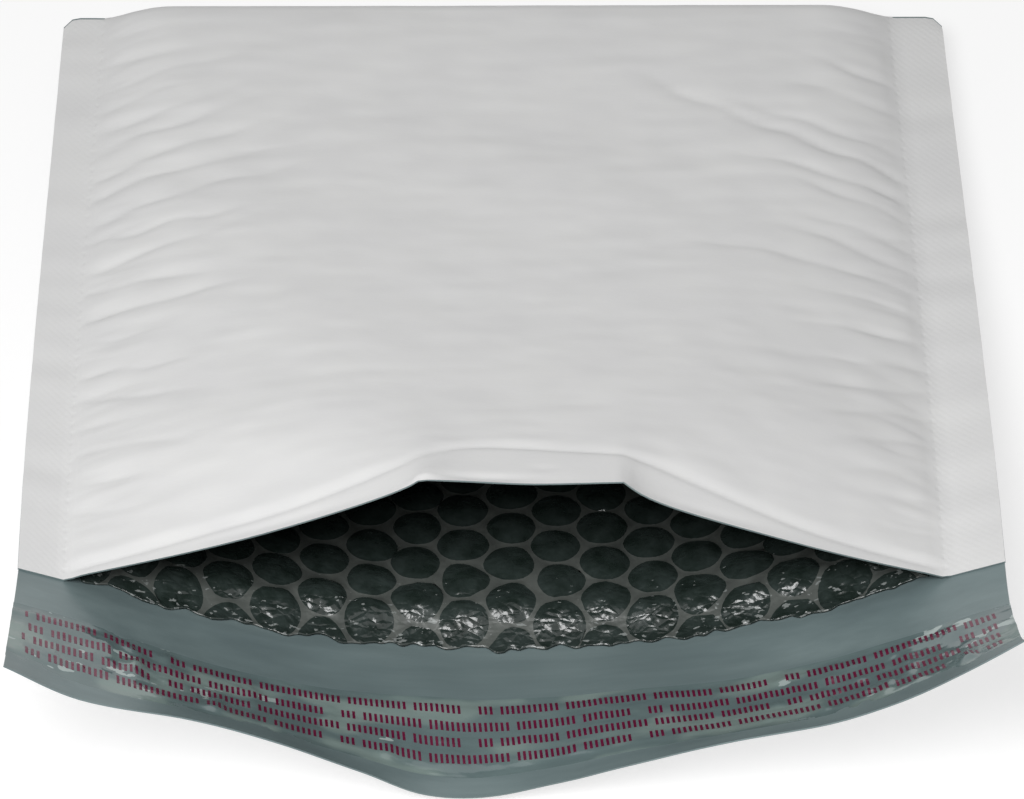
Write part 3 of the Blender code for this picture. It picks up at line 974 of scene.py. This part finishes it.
def make_floor():
    bm = bmesh.new()
    bmesh.ops.create_grid(bm, x_segments=1, y_segments=1, size=6.0)
    mesh = bpy.data.meshes.new("floor")
    bm.to_mesh(mesh)
    bm.free()
    floor = bpy.data.objects.new("floor", mesh)
    floor.location.z = -0.0006
    bpy.context.scene.collection.objects.link(floor)
    material, shader = new_material("floor_white", (0.86, 0.86, 0.86), 0.9, 0.1)
    white = add(material, "ShaderNodeEmission", Color=(1, 1, 1, 1), Strength=1.15)
    mix = add(material, "ShaderNodeMixShader")
    link(material, math_node(material, "MULTIPLY", seen_ray(material), 0.6), mix.inputs["Fac"])
    link(material, shader.outputs["BSDF"], mix.inputs[1])
    link(material, white.outputs["Emission"], mix.inputs[2])
    output = material.node_tree.nodes["Material Output"]
    link(material, mix.outputs["Shader"], output.inputs["Surface"])
    mesh.materials.append(material)


def make_world():
    world = bpy.data.worlds.new("studio")
    bpy.context.scene.world = world
    world.use_nodes = True
    background = world.node_tree.nodes["Background"]
    background.inputs["Color"].default_value = (1, 1, 1, 1)
    link(world, to_range(world, seen_ray(world), 0.0, 1.0, AMBIENT, 1.0), background.inputs["Strength"])


def make_light(name, place, aim, size, watts):
    """A round area light at place that shines toward aim."""
    data = bpy.data.lights.new(name, "AREA")
    data.shape = "DISK"
    data.size = size
    data.energy = watts
    light = bpy.data.objects.new(name, data)
    bpy.context.scene.collection.objects.link(light)
    light.location = place
    light.rotation_mode = "QUATERNION"
    light.rotation_quaternion = (Vector(place) - Vector(aim)).to_track_quat("Z", "Y")


# The view that the photograph was taken from
ELEVATION = math.radians(37.70)
YAW = math.radians(0.65)
ROLL = math.radians(0.23)
DISTANCE = 1.142
FOCAL_PIXELS = 5890.0
IMAGE_WIDTH = 1024.0
TARGET = Vector((0.0008, -0.0037, 0.0))


def make_camera():
    data = bpy.data.cameras.new("camera")
    data.sensor_width = 36.0
    data.lens = data.sensor_width * FOCAL_PIXELS / IMAGE_WIDTH
    data.clip_start, data.clip_end = 0.05, 20.0
    camera = bpy.data.objects.new("camera", data)
    bpy.context.scene.collection.objects.link(camera)
    bpy.context.scene.camera = camera
    cosine = math.cos(ELEVATION)
    ahead = Vector((math.sin(YAW) * cosine, math.cos(YAW) * cosine, -math.sin(ELEVATION)))
    level = Vector((math.cos(YAW), -math.sin(YAW), 0.0))
    above = level.cross(ahead)
    right = math.cos(ROLL) * level + math.sin(ROLL) * above
    up = math.cos(ROLL) * above - math.sin(ROLL) * level
    turned = Matrix((right, up, -ahead)).transposed()
    camera.matrix_world = Matrix.Translation(TARGET - DISTANCE * ahead) @ turned.to_4x4()


make_camera()
make_outer_film(white_film(), grey_film())
make_liner(bubble_film(), bubble_web())
glue = plain("adhesive", (0.30, 0.36, 0.33), 0.35, 300.0, 0.0001)
make_strip("adhesive", "adhesive_strip", ADHESIVE_WIDTH, glue_face, GLUE_THICKNESS, glue)
make_strip("release_strip", "release_liner", RELEASE_WIDTH, release_face, RELEASE_LAYER, release_film())
make_marks(plain("crimson_ink", (0.11, 0.006, 0.032), 0.3, 500.0, 0.00002))
make_floor()
make_world()
make_light("main", (-0.17, -0.50, 0.58), (0.0, -0.03, 0.02), 0.4, 5.0)

bpy.context.scene.view_settings.view_transform = "Standard"
